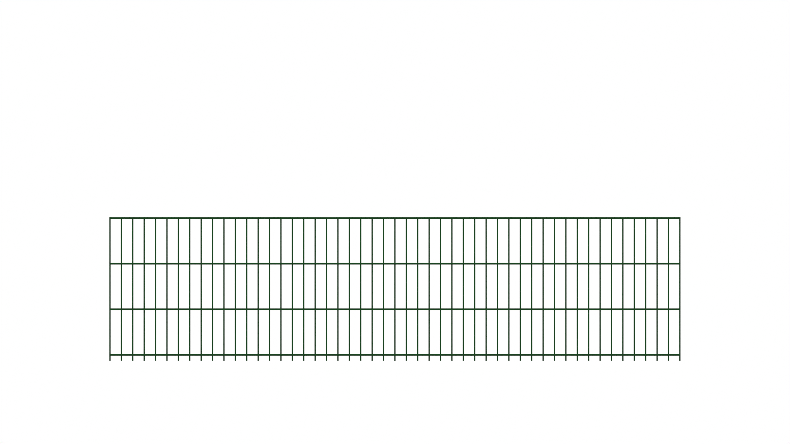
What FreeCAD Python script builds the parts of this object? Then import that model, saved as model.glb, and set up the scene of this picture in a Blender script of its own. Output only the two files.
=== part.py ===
"""Welded double-rod mesh fence panel, one whole panel without its posts.

Upright rods stand in one flat row. Pairs of level rails, one rod in front of the uprights
and one behind, clamp them and are welded to them at every crossing, where the rail has a
seat pressed into it that the upright fills. The uprights end flush with the top of the top
rail and run on below the bottom rail as a row of prongs.

Frame, in millimetres: X runs along the panel, Y from its front to its back, Z up. The origin
is the middle of the panel's foot, at the tip of the middle prong.
"""

import FreeCAD
import Part

import math
import os

# Rods, measured across their flats
upright_diameter = 6.0
rail_diameter = 8.0
rod_sides = 16
end_chamfer = 0.5

# Mesh: the width between the centres of the end uprights, and the pitches
mesh_width = 2500.0
upright_pitch = 50.0
rail_rows = ("bottom", "lower", "upper", "top")
rail_pitch = 200.0

# How far the uprights run on below the bottom rail, and how deep a weld presses the rods together
prong_length = 22.0
weld_set_down = 0.4

# Neighbouring uprights that share one file
uprights_per_group = 3

# Sizes that follow: an even number of bays keeps an upright on the panel's centre line
bays = 2 * round(mesh_width / upright_pitch / 2)
upright_spacing = mesh_width / bays
bottom_rail_height = prong_length + rail_diameter / 2
top_rail_height = bottom_rail_height + rail_pitch * (len(rail_rows) - 1)
panel_height = top_rail_height + rail_diameter / 2
rail_length = mesh_width + upright_diameter
rail_offset = (upright_diameter + rail_diameter) / 2 - weld_set_down

ALONG = FreeCAD.Vector(1, 0, 0)
ACROSS = FreeCAD.Vector(0, 1, 0)
UP = FreeCAD.Vector(0, 0, 1)


def section(diameter, direction):
    """Return a rod's section as a face at the origin, square to direction.

    It has few sides, and one of them faces across the panel, so that an upright and a rail
    bear on each other there.
    """
    half_side = FreeCAD.Rotation(direction, 180 / rod_sides)
    whole_side = FreeCAD.Rotation(direction, 360 / rod_sides)
    corner = half_side.multVec(ACROSS) * (diameter / 2 / math.cos(math.pi / rod_sides))
    corners = [corner]
    for _ in range(rod_sides):
        corner = whole_side.multVec(corner)
        corners.append(corner)
    return Part.Face(Part.makePolygon(corners))


def rod(diameter, length, direction):
    """Return a straight rod from the origin along direction, with its cut ends chamfered."""
    bar = section(diameter, direction).extrude(direction * length)
    cut_edges = [edge for edge in bar.Edges if edge.Length < diameter]
    return bar.makeChamfer(end_chamfer, cut_edges)


def place_uprights():
    """Return the uprights in their places, from left to right."""
    upright = rod(upright_diameter, panel_height, UP)
    places = [ALONG * (number * upright_spacing - mesh_width / 2) for number in range(bays + 1)]
    return [upright.translated(place) for place in places]


def place_rails(uprights):
    """Return each rail by its node's name, with a weld seat for every upright it crosses."""
    rail = rod(rail_diameter, rail_length, ALONG)
    rails = {}
    for row, row_name in enumerate(rail_rows):
        height = bottom_rail_height + row * rail_pitch
        for side, side_name in ((-1, "front"), (1, "back")):
            place = FreeCAD.Vector(-rail_length / 2, side * rail_offset, height)
            rails[f"{row_name}_rail_{side_name}"] = rail.translated(place).cut(uprights)
    return rails


def upright_nodes():
    """Return the name of each upright node with the numbers of its uprights.

    The end uprights, which the posts are clamped beside, and the middle one stand alone. The
    others share a node with their neighbours.
    """
    middle = bays // 2
    nodes = {
        "upright_left_end": range(1),
        "upright_middle": range(middle, middle + 1),
        "upright_right_end": range(bays, bays + 1),
    }
    for half in (range(1, middle), range(middle + 1, bays)):
        for start in range(0, len(half), uprights_per_group):
            group = half[start : start + uprights_per_group]
            nodes[f"uprights_{group[0] + 1:02d}_to_{group[-1] + 1:02d}"] = group
    return nodes


def export(shape, node):
    """Write one node's STEP file."""
    shape.exportStep(f"parts/{node}.step")


def main():
    """Build every rod and write one file for each node."""
    os.makedirs("parts", exist_ok=True)

    uprights = place_uprights()
    for node, numbers in upright_nodes().items():
        export(Part.makeCompound([uprights[number] for number in numbers]), node)

    for node, rail in place_rails(uprights).items():
        export(rail, node)


main()
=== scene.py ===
"""Dress the welded mesh fence panel: smooth round rods, weld beads and a powder coat, in a pale studio.

X runs along the panel, Y from its front to its back and Z up. Sizes are in metres. They come from the
frame, or are named values of the class that uses them.
"""

from __future__ import annotations

import logging
import math
from dataclasses import dataclass
from enum import Enum
from typing import Any, Iterator, Mapping, Sequence, Union

import bpy
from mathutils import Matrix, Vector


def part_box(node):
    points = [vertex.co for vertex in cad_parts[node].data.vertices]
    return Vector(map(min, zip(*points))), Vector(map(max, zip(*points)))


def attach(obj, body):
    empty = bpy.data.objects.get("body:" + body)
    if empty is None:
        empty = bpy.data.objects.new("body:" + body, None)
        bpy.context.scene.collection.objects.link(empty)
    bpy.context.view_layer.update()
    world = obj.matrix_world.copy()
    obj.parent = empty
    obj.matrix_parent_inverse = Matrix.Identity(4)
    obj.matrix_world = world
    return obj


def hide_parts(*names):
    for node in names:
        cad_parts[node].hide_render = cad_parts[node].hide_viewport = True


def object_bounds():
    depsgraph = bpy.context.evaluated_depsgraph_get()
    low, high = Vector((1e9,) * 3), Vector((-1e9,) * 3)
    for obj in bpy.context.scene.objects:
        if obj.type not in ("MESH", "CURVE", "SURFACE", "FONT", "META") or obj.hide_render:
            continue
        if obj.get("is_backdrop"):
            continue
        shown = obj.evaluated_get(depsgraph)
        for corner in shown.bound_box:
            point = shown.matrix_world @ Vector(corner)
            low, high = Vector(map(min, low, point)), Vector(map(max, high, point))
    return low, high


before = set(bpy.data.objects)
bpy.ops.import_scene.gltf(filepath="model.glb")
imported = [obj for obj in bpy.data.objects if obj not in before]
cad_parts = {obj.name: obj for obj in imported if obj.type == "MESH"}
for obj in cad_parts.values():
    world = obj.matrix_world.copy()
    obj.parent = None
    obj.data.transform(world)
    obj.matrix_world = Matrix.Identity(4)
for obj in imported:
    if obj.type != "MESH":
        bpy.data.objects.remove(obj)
CAD_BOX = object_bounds()

MM = 0.001
BODY = "root"
BLACK = (0.0, 0.0, 0.0, 1.0)
WHITE = (1.0, 1.0, 1.0, 1.0)

# What a node's input takes: a link from another node, or a value of its own
Value = Union["Term", float, int, Sequence[float], bpy.types.Material]

log = logging.getLogger("fence_panel")


class Side(Enum):
    """The side of the uprights that a rail lies on, as its direction along Y."""

    FRONT = -1.0
    BACK = 1.0


class BeadPoint(Enum):
    """The points of a weld bead's section, in their order round it."""

    ON_UPRIGHT = 0
    IN_CORNER = 1
    ON_RAIL = 2
    BETWEEN_RODS = 3


def linear(red: int, green: int, blue: int) -> tuple[float, float, float, float]:
    """Turn a screen colour into the linear colour that shaders use.

    Args:
        red: The red level, from 0 to 255.
        green: The green level.
        blue: The blue level.

    Returns:
        Red, green, blue and an alpha of 1, from 0 to 1.
    """
    shares = (level / 255 for level in (red, green, blue))
    lit = [share / 12.92 if share <= 0.04045 else ((share + 0.055) / 1.055) ** 2.4 for share in shares]
    return (lit[0], lit[1], lit[2], 1.0)


class Term:
    """A node's output that takes part in arithmetic, so that a formula reads as one."""

    def __init__(self, graph: Graph, socket: bpy.types.NodeSocket) -> None:
        """Wrap one output socket of a node in that graph."""
        self.graph = graph
        self.socket = socket

    def __add__(self, other: Value) -> Term:
        """Add."""
        return self.graph.math("ADD", self, other)

    def __radd__(self, other: Value) -> Term:
        """Add to a plain number."""
        return self.graph.math("ADD", other, self)

    def __sub__(self, other: Value) -> Term:
        """Subtract."""
        return self.graph.math("SUBTRACT", self, other)

    def __rsub__(self, other: Value) -> Term:
        """Subtract from a plain number."""
        return self.graph.math("SUBTRACT", other, self)

    def __mul__(self, other: Value) -> Term:
        """Multiply."""
        return self.graph.math("MULTIPLY", self, other)

    def __rmul__(self, other: Value) -> Term:
        """Multiply a plain number."""
        return self.graph.math("MULTIPLY", other, self)

    def __truediv__(self, other: Value) -> Term:
        """Divide."""
        return self.graph.math("DIVIDE", self, other)

    def __rtruediv__(self, other: Value) -> Term:
        """Divide a plain number."""
        return self.graph.math("DIVIDE", other, self)

    def __mod__(self, other: Value) -> Term:
        """Give what a division leaves over."""
        return self.graph.math("MODULO", self, other)

    def __rmod__(self, other: Value) -> Term:
        """Give what a plain number's division leaves over."""
        return self.graph.math("MODULO", other, self)

    def __gt__(self, other: Value) -> Term:
        """Give 1 where this is larger, and 0 elsewhere."""
        return self.graph.math("GREATER_THAN", self, other)

    def __lt__(self, other: Value) -> Term:
        """Give 1 where this is smaller, and 0 elsewhere."""
        return self.graph.math("LESS_THAN", self, other)

    def __neg__(self) -> Term:
        """Turn the sign round."""
        return self * -1.0

    def matches(self, number: int) -> Term:
        """Return 1 where this is nearest to that whole number, and 0 elsewhere."""
        return self.graph.math("COMPARE", self, number, 0.5)

    def call(self, operation: str) -> Term:
        """Return an operation of the Math node on this alone, such as SINE or SQRT."""
        return self.graph.math(operation, self)

    def at_least(self, low: Value) -> Term:
        """Return this, or low where this is smaller."""
        return self.graph.math("MAXIMUM", self, low)

    def at_most(self, high: Value) -> Term:
        """Return this, or high where this is larger."""
        return self.graph.math("MINIMUM", self, high)

    def smooth(self) -> Term:
        """Return a soft step from 0 to 1, as this goes from 0 to 1."""
        share = self.at_least(0.0).at_most(1.0)
        return share * share * (3.0 - 2.0 * share)

    def output(self, name: str) -> Term:
        """Return another output of the same node."""
        return Term(self.graph, self.socket.node.outputs[name])


class Graph:
    """Builds the nodes of one tree, of shaders or of geometry."""

    def __init__(self, tree: bpy.types.NodeTree) -> None:
        """Start on a tree."""
        self.tree = tree

    @classmethod
    def of(cls, owner: bpy.types.Material | bpy.types.World) -> Graph:
        """Empty an owner's nodes.

        Args:
            owner: The material or world.

        Returns:
            A graph that builds in its tree.
        """
        owner.use_nodes = True
        owner.node_tree.nodes.clear()
        return cls(owner.node_tree)

    def add(
        self,
        kind: str,
        settings: Mapping[str, Any] | None = None,
        sockets: Mapping[str | int, Value] | None = None,
    ) -> Term:
        """Add one node.

        Args:
            kind: The node's type.
            settings: Its own settings, which are set first.
            sockets: Values or links, by the name or the number of the input.

        Returns:
            The node's first output in use, if it has one.
        """
        node = self.tree.nodes.new(kind)
        for name, setting in (settings or {}).items():
            setattr(node, name, setting)
        for key, value in (sockets or {}).items():
            self.feed(self.find(node, key), value)
        return Term(self, next((out for out in node.outputs if out.enabled), None))

    @staticmethod
    def find(node: bpy.types.Node, key: str | int) -> bpy.types.NodeSocket:
        """Find an input.

        Args:
            node: The node.
            key: The input's name or number.

        Returns:
            The input, which is in use where it is found by its name.
        """
        if isinstance(key, int):
            return node.inputs[key]
        return next(socket for socket in node.inputs if socket.name == key and socket.enabled)

    def feed(self, socket: bpy.types.NodeSocket, value: Value) -> None:
        """Give an input its value.

        Args:
            socket: The input.
            value: A term, which is linked to it, or its own value.
        """
        if isinstance(value, Term):
            self.tree.links.new(value.socket, socket)
        else:
            socket.default_value = value

    def math(self, operation: str, *values: Value) -> Term:
        """Return a Math node's result."""
        return self.add("ShaderNodeMath", {"operation": operation}, dict(enumerate(values)))

    def point(self, x: Value, y: Value, z: Value) -> Term:
        """Return a vector made of three numbers."""
        return self.add("ShaderNodeCombineXYZ", None, {"X": x, "Y": y, "Z": z})

    def mix(self, share: Value, first: Value, second: Value) -> Term:
        """Return a colour between two, by a share from 0 to 1."""
        sockets = {"Factor": share, "A": first, "B": second}
        return self.add("ShaderNodeMix", {"data_type": "RGBA"}, sockets)

    def noise(self, place: Term, size: float) -> Term:
        """Return a noise from 0 to 1 whose lumps are about that large."""
        return self.add("ShaderNodeTexNoise", None, {"Vector": place, "Scale": 1 / size})

    def seen(self) -> Term:
        """Return 1 for a ray from the camera, or one that a surface reflects or lets through."""
        path = self.add("ShaderNodeLightPath")
        return path.at_least(path.output("Is Glossy Ray")).at_least(path.output("Is Transmission Ray"))


class GeometryTree(Graph):
    """A geometry tree with named inputs, which grows plain meshes."""

    SOCKETS = {float: "NodeSocketFloat", int: "NodeSocketInt", bpy.types.Material: "NodeSocketMaterial"}
    FINISH = "Finish"

    def __init__(self, name: str, inputs: Mapping[str, type]) -> None:
        """Start an empty tree.

        Args:
            name: The tree's name.
            inputs: The type of each named input. The material comes as one more.
        """
        super().__init__(bpy.data.node_groups.new(name, "GeometryNodeTree"))
        for label, kind in (dict(inputs) | {self.FINISH: bpy.types.Material}).items():
            self.tree.interface.new_socket(label, in_out="INPUT", socket_type=self.SOCKETS[kind])
        self.tree.interface.new_socket("Geometry", in_out="OUTPUT", socket_type="NodeSocketGeometry")
        self.source = self.add("NodeGroupInput")

    def given(self, label: str) -> Term:
        """Return a named input of the tree."""
        return self.source.output(label)

    def row(self, shape: Term, height: Value, size: Value = 1.0) -> Term:
        """Repeat a shape in a level row.

        Args:
            shape: The shape, round the origin.
            height: The row's height.
            size: The scale of each copy along X and Z.

        Returns:
            As many copies as the input Count says, from First on and Pitch apart.
        """
        line = self.add(
            "GeometryNodeMeshLine",
            {"mode": "OFFSET", "count_mode": "TOTAL"},
            {
                "Count": self.given("Count"),
                "Start Location": self.point(self.given("First"), 0.0, height),
                "Offset": self.point(self.given("Pitch"), 0.0, 0.0),
            },
        )
        scale = self.point(size, 1.0, size)
        sockets = {"Points": line, "Instance": shape, "Scale": scale}
        return self.add("GeometryNodeInstanceOnPoints", None, sockets)

    def finish(self, geometry: Term) -> None:
        """End the tree: make what is repeated real, and give it the material.

        Args:
            geometry: What the tree has grown.
        """
        real = self.add("GeometryNodeRealizeInstances", None, {"Geometry": geometry})
        sockets = {"Geometry": real, "Material": self.given(self.FINISH)}
        finished = self.add("GeometryNodeSetMaterial", None, sockets)
        self.add("NodeGroupOutput", None, {"Geometry": finished})

    def grow(self, name: str, finish: bpy.types.Material, values: Mapping[str, float]) -> bpy.types.Object:
        """Grow a plain mesh object.

        Args:
            name: The object's name.
            finish: Its material.
            values: A value for each other input.

        Returns:
            An object at the origin, with its place in its mesh and no modifier.
        """
        seed = bpy.data.meshes.new(f"{name}_seed")
        piece = bpy.data.objects.new(name, seed)
        bpy.context.scene.collection.objects.link(piece)
        modifier = piece.modifiers.new("Grow", "NODES")
        modifier.node_group = self.tree
        settings = dict(values) | {self.FINISH: finish}
        for item in self.tree.interface.items_tree:
            if item.in_out == "INPUT":
                modifier[item.identifier] = settings[item.name]
        depsgraph = bpy.context.evaluated_depsgraph_get()
        mesh = bpy.data.meshes.new_from_object(piece.evaluated_get(depsgraph), depsgraph=depsgraph)
        mesh.name = name
        piece.modifiers.clear()
        piece.data = mesh
        bpy.data.meshes.remove(seed)
        return piece


class Tube:
    """A closed tube grown from a flat grid, whose points a formula places ring by ring."""

    WELD_DISTANCE = 0.001 * MM

    def __init__(self, tree: GeometryTree, rings: Value, sides: Value) -> None:
        """Start the grid.

        Args:
            tree: The tree to build in.
            rings: How many rings of points the tube has.
            sides: How many sides each ring has.
        """
        columns = sides + 1
        sockets = {"Size X": 1.0, "Size Y": 1.0, "Vertices X": rings, "Vertices Y": columns}
        index = tree.add("GeometryNodeInputIndex")
        self.tree = tree
        self.grid = tree.add("GeometryNodeMeshGrid", None, sockets)
        # Half a point more keeps the quotient clear of whole numbers, so that rounding is safe
        self.ring = ((index + 0.5) / columns).call("FLOOR")
        self.side = index - self.ring * columns
        self.turn = self.side * math.tau / sides

    def close(self, place: Term) -> Term:
        """Close the tube's seam and ends.

        Args:
            place: Where each point of the grid goes.

        Returns:
            The tube's mesh, smooth shaded.
        """
        sockets = {"Geometry": self.grid, "Position": place}
        shaped = self.tree.add("GeometryNodeSetPosition", None, sockets)
        sockets = {"Geometry": shaped, "Distance": self.WELD_DISTANCE}
        closed = self.tree.add("GeometryNodeMergeByDistance", None, sockets)
        return self.tree.add("GeometryNodeSetShadeSmooth", None, {"Geometry": closed})


@dataclass(frozen=True)
class PowderCoat:
    """A dark moss green powder coat: slow shifts of tone and gloss, and a fine orange peel.

    A peel_depth of 0 leaves the peel out.
    """

    name: str
    deep: tuple[int, int, int] = (1, 46, 8)
    light: tuple[int, int, int] = (5, 70, 19)
    tone_size: float = 60 * MM
    roughness: tuple[float, float] = (0.22, 0.4)
    gloss_size: float = 12 * MM
    specular: float = 0.12
    peel_size: float = 1.4 * MM
    peel_depth: float = 0.035 * MM

    def build(self) -> bpy.types.Material:
        """Build the finish.

        Returns:
            A material whose patterns read the piece's own coordinates.
        """
        material = bpy.data.materials.new(self.name)
        graph = Graph.of(material)
        place = graph.add("ShaderNodeTexCoord").output("Object")
        tone = graph.noise(place, self.tone_size)
        gloss = graph.noise(place, self.gloss_size)
        smoothest, roughest = self.roughness
        surface: dict[str, Value] = {
            "Base Color": graph.mix(tone, linear(*self.deep), linear(*self.light)),
            "Roughness": roughest - (roughest - smoothest) * gloss,
            "Specular IOR Level": self.specular,
        }
        if self.peel_depth > 0:
            peel = graph.noise(place, self.peel_size)
            sockets = {"Strength": 1.0, "Distance": self.peel_depth, "Height": peel}
            surface["Normal"] = graph.add("ShaderNodeBump", None, sockets)
        coat = graph.add("ShaderNodeBsdfPrincipled", None, surface)
        graph.add("ShaderNodeOutputMaterial", None, {"Surface": coat})
        return material


@dataclass(frozen=True)
class PaleFloor:
    """A plain matt floor, near white, and lifted to white where the camera looks at it."""

    name: str = "pale_floor"
    tone: tuple[int, int, int] = (246, 246, 246)
    lift: float = 0.14

    def build(self) -> bpy.types.Material:
        """Build the finish.

        Returns:
            A material that glows a little, only for rays that show the floor itself.
        """
        material = bpy.data.materials.new(self.name)
        graph = Graph.of(material)
        floor = graph.add(
            "ShaderNodeBsdfPrincipled",
            None,
            {
                "Base Color": linear(*self.tone),
                "Roughness": 1.0,
                "Specular IOR Level": 0.0,
                "Emission Color": graph.mix(graph.seen(), BLACK, WHITE),
                "Emission Strength": self.lift,
            },
        )
        graph.add("ShaderNodeOutputMaterial", None, {"Surface": floor})
        return material


@dataclass(frozen=True)
class UprightGroup:
    """The uprights of one CAD node."""

    node: str
    count: int
    left: float
    foot: float
    length: float

    @classmethod
    def read(cls, node: str) -> UprightGroup:
        """Measure a node.

        Args:
            node: Its name, which holds its first and its last upright's number if it has several.

        Returns:
            The node's uprights.
        """
        low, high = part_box(node)
        numbers = [int(word) for word in node.split("_") if word.isdigit()]
        count = numbers[1] - numbers[0] + 1 if numbers else 1
        return cls(node, count, low.x, low.z, high.z - low.z)


@dataclass(frozen=True)
class Rail:
    """The rail of one CAD node."""

    node: str
    start: float
    length: float
    across: float
    height: float

    @classmethod
    def read(cls, node: str) -> Rail:
        """Measure a node."""
        low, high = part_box(node)
        return cls(node, low.x, high.x - low.x, (low.y + high.y) / 2, (low.z + high.z) / 2)

    @property
    def side(self) -> Side:
        """The side of the uprights that it lies on."""
        return Side.FRONT if self.across < 0 else Side.BACK


@dataclass(frozen=True)
class Panel:
    """The panel's sizes, and where its rods lie."""

    groups: tuple[UprightGroup, ...]
    rails: tuple[Rail, ...]
    upright_diameter: float
    rail_diameter: float
    uprights: int
    first: float
    pitch: float

    @classmethod
    def read(cls) -> Panel:
        """Measure the CAD nodes.

        Returns:
            The panel's sizes.
        """
        nodes = sorted(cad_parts)
        groups = tuple(UprightGroup.read(node) for node in nodes if node.startswith("upright"))
        rails = tuple(Rail.read(node) for node in nodes if "rail" in node)
        uprights = sum(group.count for group in groups)
        upright_low, upright_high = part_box("upright_left_end")
        rail_low, rail_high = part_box("top_rail_front")
        first = (upright_low.x + upright_high.x) / 2
        last = sum(corner.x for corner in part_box("upright_right_end")) / 2
        return cls(
            groups=groups,
            rails=rails,
            upright_diameter=upright_high.y - upright_low.y,
            rail_diameter=rail_high.z - rail_low.z,
            uprights=uprights,
            first=first,
            pitch=(last - first) / (uprights - 1),
        )


@dataclass(frozen=True)
class CutEnd:
    """The cut end of a rod, whose edge the coat has rounded."""

    edge: float = 0.6 * MM
    steps: int = 4

    @property
    def rings(self) -> int:
        """How many rings one end takes, from the middle of its face to the rod's full width."""
        return self.steps + 2

    def profile(self, step: Term, radius: Term, edge: Term) -> tuple[Term, Term]:
        """Shape the rings of an end.

        Args:
            step: The ring, counted from the end, where ring 0 is the middle of the face.
            radius: The rod's radius.
            edge: The radius of the rounded edge.

        Returns:
            How far the ring lies behind the end's face, and its radius.
        """
        angle = ((step - 1.0) / self.steps).at_least(0.0).at_most(1.0) * (math.pi / 2)
        depth = (1.0 - angle.call("COSINE")) * edge
        width = radius - edge + angle.call("SINE") * edge
        return depth, width * (step > 0)


@dataclass
class CoatedPieces:
    """A set of the panel's pieces, which are coated together with the rest."""

    panel: Panel
    coat: bpy.types.Material

    @staticmethod
    def dress(piece: bpy.types.Object, node: str | None = None) -> None:
        """Let a piece ride on the panel's body.

        Args:
            piece: The piece.
            node: The CAD node that it stands for, if it stands for one.
        """
        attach(piece, BODY)
        if node:
            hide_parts(node)


@dataclass
class Uprights(CoatedPieces):
    """The upright rods, with as many in a piece as its CAD node holds."""

    end: CutEnd = CutEnd()
    sides: int = 24

    def build(self) -> Iterator[bpy.types.Object]:
        """Make one piece for each CAD node.

        Returns:
            The pieces, one after another.
        """
        tree = self.grow_tree()
        for group in self.panel.groups:
            values = {
                "Count": group.count,
                "First": group.left + self.panel.upright_diameter / 2,
                "Pitch": self.panel.pitch,
                "Foot": group.foot,
                "Length": group.length,
                "Diameter": self.panel.upright_diameter,
                "Edge": self.end.edge,
                "Sides": self.sides,
            }
            piece = tree.grow(f"round_{group.node}", self.coat, values)
            self.dress(piece, group.node)
            yield piece

    def grow_tree(self) -> GeometryTree:
        """Build the geometry tree.

        Returns:
            The tree that grows a row of uprights.
        """
        lengths = ("First", "Pitch", "Foot", "Length", "Diameter", "Edge")
        tree = GeometryTree("Uprights", {"Count": int, "Sides": int} | dict.fromkeys(lengths, float))
        rings = 2 * self.end.rings
        tube = Tube(tree, rings, tree.given("Sides"))
        step = tube.ring.at_most(rings - 1 - tube.ring)
        depth, radius = self.end.profile(step, tree.given("Diameter") / 2, tree.given("Edge"))
        is_top = tube.ring > self.end.rings - 1
        height = depth + is_top * (tree.given("Length") - 2.0 * depth)
        place = tree.point(radius * tube.turn.call("COSINE"), -radius * tube.turn.call("SINE"), height)
        tree.finish(tree.row(tube.close(place), tree.given("Foot")))
        return tree


@dataclass(frozen=True)
class ElectrodeMark:
    """The shallow flat that a welding electrode leaves on the outer side of a rail."""

    depth: float = 0.25 * MM
    reach: float = 5.0 * MM
    flat_share: float = 0.2
    rings: int = 9


@dataclass
class Rails(CoatedPieces):
    """The level rods, each pressed a little flat where it is welded to an upright."""

    end: CutEnd = CutEnd()
    mark: ElectrodeMark = ElectrodeMark()
    sides: int = 28

    def build(self) -> Iterator[bpy.types.Object]:
        """Make one piece for each CAD node.

        Returns:
            The pieces, one after another.
        """
        tree = self.grow_tree()
        for rail in self.panel.rails:
            values = {
                "Count": self.panel.uprights,
                "First": self.panel.first - rail.start,
                "Pitch": self.panel.pitch,
                "Start": rail.start,
                "Length": rail.length,
                "Across": rail.across,
                "Height": rail.height,
                "Side": rail.side.value,
                "Diameter": self.panel.rail_diameter,
                "Edge": self.end.edge,
                "Mark Depth": self.mark.depth,
                "Mark Reach": self.mark.reach,
                "Sides": self.sides,
            }
            piece = tree.grow(f"round_{rail.node}", self.coat, values)
            self.dress(piece, rail.node)
            yield piece

    def grow_tree(self) -> GeometryTree:
        """Build the geometry tree.

        Returns:
            The tree that grows a rail, with rings at its ends and round each weld.
        """
        lengths = ("First", "Pitch", "Start", "Length", "Across", "Height", "Side", "Diameter", "Edge")
        marks = ("Mark Depth", "Mark Reach")
        tree = GeometryTree("Rail", {"Count": int, "Sides": int} | dict.fromkeys(lengths + marks, float))
        rings = tree.given("Count") * self.mark.rings + 2 * self.end.rings
        tube = Tube(tree, rings, tree.given("Sides"))
        step = tube.ring.at_most(rings - 1 - tube.ring)
        full = tree.given("Diameter") / 2
        depth, radius = self.end.profile(step, full, tree.given("Edge"))
        along = self.place_rings(tree, tube.ring, step, depth)

        outward = radius * tube.turn.call("COSINE")
        outward = outward.at_most(full - self.press(tree, along) * tree.given("Mark Depth"))
        side = tree.given("Side")
        place = tree.point(
            tree.given("Start") + along,
            tree.given("Across") + side * outward,
            tree.given("Height") - side * radius * tube.turn.call("SINE"),
        )
        tree.finish(tube.close(place))
        return tree

    def place_rings(self, tree: GeometryTree, ring: Term, step: Term, depth: Term) -> Term:
        """Set the rings along the rail.

        Args:
            tree: The tree to build in.
            ring: The ring, counted from the rail's start.
            step: The ring, counted from the nearer end.
            depth: How far a ring of an end lies behind the end's face.

        Returns:
            Each ring's distance from the rail's start.
        """
        length = tree.given("Length")
        # Between the rings of the two ends, each weld has a set of rings, spread evenly over its mark
        inner = (ring - self.end.rings).at_least(0.0)
        weld = (inner / self.mark.rings).call("FLOOR")
        spread = (inner - weld * self.mark.rings) / ((self.mark.rings - 1) / 2) - 1.0
        by_weld = tree.given("First") + weld * tree.given("Pitch") + spread * tree.given("Mark Reach")
        by_weld = by_weld.at_least(tree.given("Edge")).at_most(length - tree.given("Edge"))
        is_far = inner > tree.given("Count") * self.mark.rings - 1
        by_end = depth + is_far * (length - 2.0 * depth)
        is_inner = step > self.end.rings - 1
        return by_end + is_inner * (by_weld - by_end)

    def press(self, tree: GeometryTree, along: Term) -> Term:
        """Work out how flat the electrodes have pressed the rail.

        Args:
            tree: The tree to build in.
            along: The place, as a distance from the rail's start.

        Returns:
            A share from 0, where the rail is round, to 1 at a weld.
        """
        bay = (along - tree.given("First")) / tree.given("Pitch")
        from_weld = (bay - bay.call("ROUND")).call("ABSOLUTE") * tree.given("Pitch")
        share = (1.0 - from_weld / tree.given("Mark Reach")) / (1.0 - self.mark.flat_share)
        return share.smooth()


@dataclass(frozen=True)
class BeadShape:
    """The bead of metal and coat that fills the corner round a weld, as a ring round its middle."""

    corner_gap: float = 0.9 * MM
    sink: float = 0.08 * MM
    hollow: float = 0.07
    core: float = 0.5
    turns: int = 16
    size_change: float = 0.08


@dataclass
class WeldBeads(CoatedPieces):
    """The beads between each rail and the uprights."""

    shape: BeadShape = BeadShape()

    def build(self) -> Iterator[bpy.types.Object]:
        """Make one row of beads for each rail.

        Returns:
            The rows, one after another.
        """
        tree = self.grow_tree()
        for seed, rail in enumerate(self.panel.rails):
            values = {
                "Count": self.panel.uprights,
                "First": self.panel.first,
                "Pitch": self.panel.pitch,
                "Height": rail.height,
                "Side": rail.side.value,
                "Axis Distance": abs(rail.across),
                "Upright Radius": self.panel.upright_diameter / 2,
                "Rail Radius": self.panel.rail_diameter / 2,
                "Corner Gap": self.shape.corner_gap,
                "Sink": self.shape.sink,
                "Seed": seed,
            }
            piece = tree.grow(f"weld_beads_{rail.node}", self.coat, values)
            self.dress(piece)
            yield piece

    def grow_tree(self) -> GeometryTree:
        """Build the geometry tree.

        Returns:
            The tree that grows a row of beads, each a little different in size.
        """
        lengths = ("First", "Pitch", "Height", "Side", "Axis Distance", "Upright Radius", "Rail Radius")
        gaps = ("Corner Gap", "Sink")
        tree = GeometryTree("Weld beads", {"Count": int, "Seed": int} | dict.fromkeys(lengths + gaps, float))
        smallest = 1.0 - self.shape.size_change
        sockets = {"Min": smallest, "Max": 1.0, "Seed": tree.given("Seed")}
        size = tree.add("FunctionNodeRandomValue", {"data_type": "FLOAT"}, sockets)
        tree.finish(tree.row(self.bead(tree), tree.given("Height"), size))
        return tree

    def bead(self, tree: GeometryTree) -> Term:
        """Shape one bead.

        Args:
            tree: The tree to build in.

        Returns:
            A ring round the origin that follows the surfaces of both rods.
        """
        tube = Tube(tree, self.shape.turns + 1, len(BeadPoint))
        corner = tube.side % len(BeadPoint)
        on_upright, in_corner, on_rail, hidden = (corner.matches(point.value) for point in BeadPoint)

        upright = tree.given("Upright Radius")
        rail = tree.given("Rail Radius")
        distance = tree.given("Axis Distance")
        # The bead's rim is the oval round the crossing where the rods' surfaces are the gap apart
        gap = upright + rail - distance + tree.given("Corner Gap")
        spread = 1.0 - in_corner * self.shape.hollow - hidden * (1.0 - self.shape.core)
        turn = tube.ring * (math.tau / self.shape.turns)
        x = turn.call("COSINE") * spread * (2.0 * upright * gap).call("SQRT")
        z = turn.call("SINE") * spread * (2.0 * rail * gap).call("SQRT")

        upright_skin = (upright * upright - x * x).call("SQRT")
        rail_skin = distance - (rail * rail - z * z).call("SQRT")
        outward = (
            on_upright * (upright_skin - tree.given("Sink"))
            + on_rail * (rail_skin + tree.given("Sink"))
            + (in_corner + hidden) * (upright_skin + rail_skin) / 2
        )
        side = tree.given("Side")
        return tube.close(tree.point(x, side * outward, -side * z))


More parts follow.
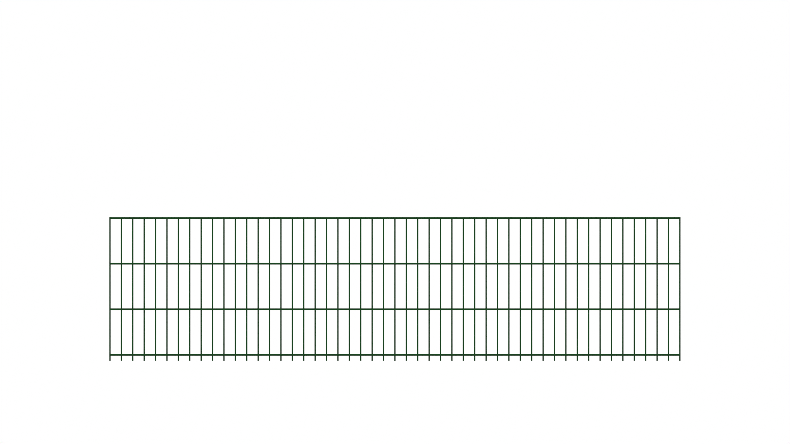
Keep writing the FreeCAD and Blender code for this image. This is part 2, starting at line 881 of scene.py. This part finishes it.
@dataclass(frozen=True)
class Studio:
    """A pale floor, a white surround, soft light and a camera square to the panel's front.

    The photograph's own measures place the camera: its width in pixels, its pixels to a metre, and
    the point of the panel's frame that its middle shows.
    """

    photo_width: float = 790.0
    photo_scale: float = 227.96
    photo_middle_x: float = 0.0003
    photo_middle_z: float = 0.6088
    camera_distance: float = 6.0
    pixel_filter: float = 0.55
    floor_reach: float = 60.0
    dome: float = 0.68
    key: float = 1.15
    key_spread: float = 25.0
    key_turn: tuple[float, float, float] = (48.0, 0.0, -35.0)

    def build(self) -> None:
        """Build the floor, the light and the camera."""
        self.build_floor()
        self.build_dome()
        self.build_key()
        self.build_camera()

    def build_floor(self) -> None:
        """Lay the floor under the prongs."""
        reach = self.floor_reach
        corners = [(-reach, -reach, 0.0), (reach, -reach, 0.0), (reach, reach, 0.0), (-reach, reach, 0.0)]
        mesh = bpy.data.meshes.new("studio_floor")
        mesh.from_pydata(corners, [], [(0, 1, 2, 3)])
        mesh.materials.append(PaleFloor().build())
        floor = bpy.data.objects.new("studio_floor", mesh)
        bpy.context.scene.collection.objects.link(floor)
        floor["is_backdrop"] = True

    def build_dome(self) -> None:
        """Light the panel from all round, with white where the camera or a reflection looks."""
        world = bpy.data.worlds.new("studio")
        graph = Graph.of(world)
        strength = self.dome + graph.seen() * (1.0 - self.dome)
        surround = graph.add("ShaderNodeBackground", None, {"Color": WHITE, "Strength": strength})
        graph.add("ShaderNodeOutputWorld", None, {"Surface": surround})
        bpy.context.scene.world = world

    def build_key(self) -> None:
        """Add one broad soft light, from the front, high on the left."""
        lamp = bpy.data.lights.new("key", "SUN")
        lamp.energy = self.key
        lamp.angle = math.radians(self.key_spread)
        key = bpy.data.objects.new("key", lamp)
        key.rotation_euler = [math.radians(turn) for turn in self.key_turn]
        bpy.context.scene.collection.objects.link(key)

    def build_camera(self) -> None:
        """Look level along Y with no perspective, as the photograph does, and as crisply."""
        lens = bpy.data.cameras.new("camera")
        lens.type = "ORTHO"
        lens.ortho_scale = self.photo_width / self.photo_scale
        camera = bpy.data.objects.new("camera", lens)
        camera.location = (self.photo_middle_x, -self.camera_distance, self.photo_middle_z)
        camera.rotation_euler = (math.pi / 2, 0.0, 0.0)
        scene = bpy.context.scene
        scene.collection.objects.link(camera)
        scene.camera = camera
        scene.view_settings.view_transform = "Standard"
        scene.cycles.filter_width = self.pixel_filter


def write_sizes() -> None:
    """Work out the CAD model's box and the visual model's box."""
    boxes = {"cad": CAD_BOX, "visual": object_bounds()}
    {name: [list(corner) for corner in box] for name, box in boxes.items()}


def main() -> None:
    """Build the panel's pieces and the studio, in order."""
    logging.basicConfig(level=logging.INFO, format="%(message)s")
    panel = Panel.read()
    rod_coat = PowderCoat("green_powder_coat").build()
    # In the corners of the welds the coat runs together and lies smooth
    bead_coat = PowderCoat("green_coat_in_welds", peel_depth=0.0).build()
    for pieces in (Uprights(panel, rod_coat), Rails(panel, rod_coat), WeldBeads(panel, bead_coat)):
        for piece in pieces.build():
            log.info("%s has %d faces", piece.name, len(piece.data.polygons))
    Studio().build()
    write_sizes()


if __name__ == "__main__":
    main()
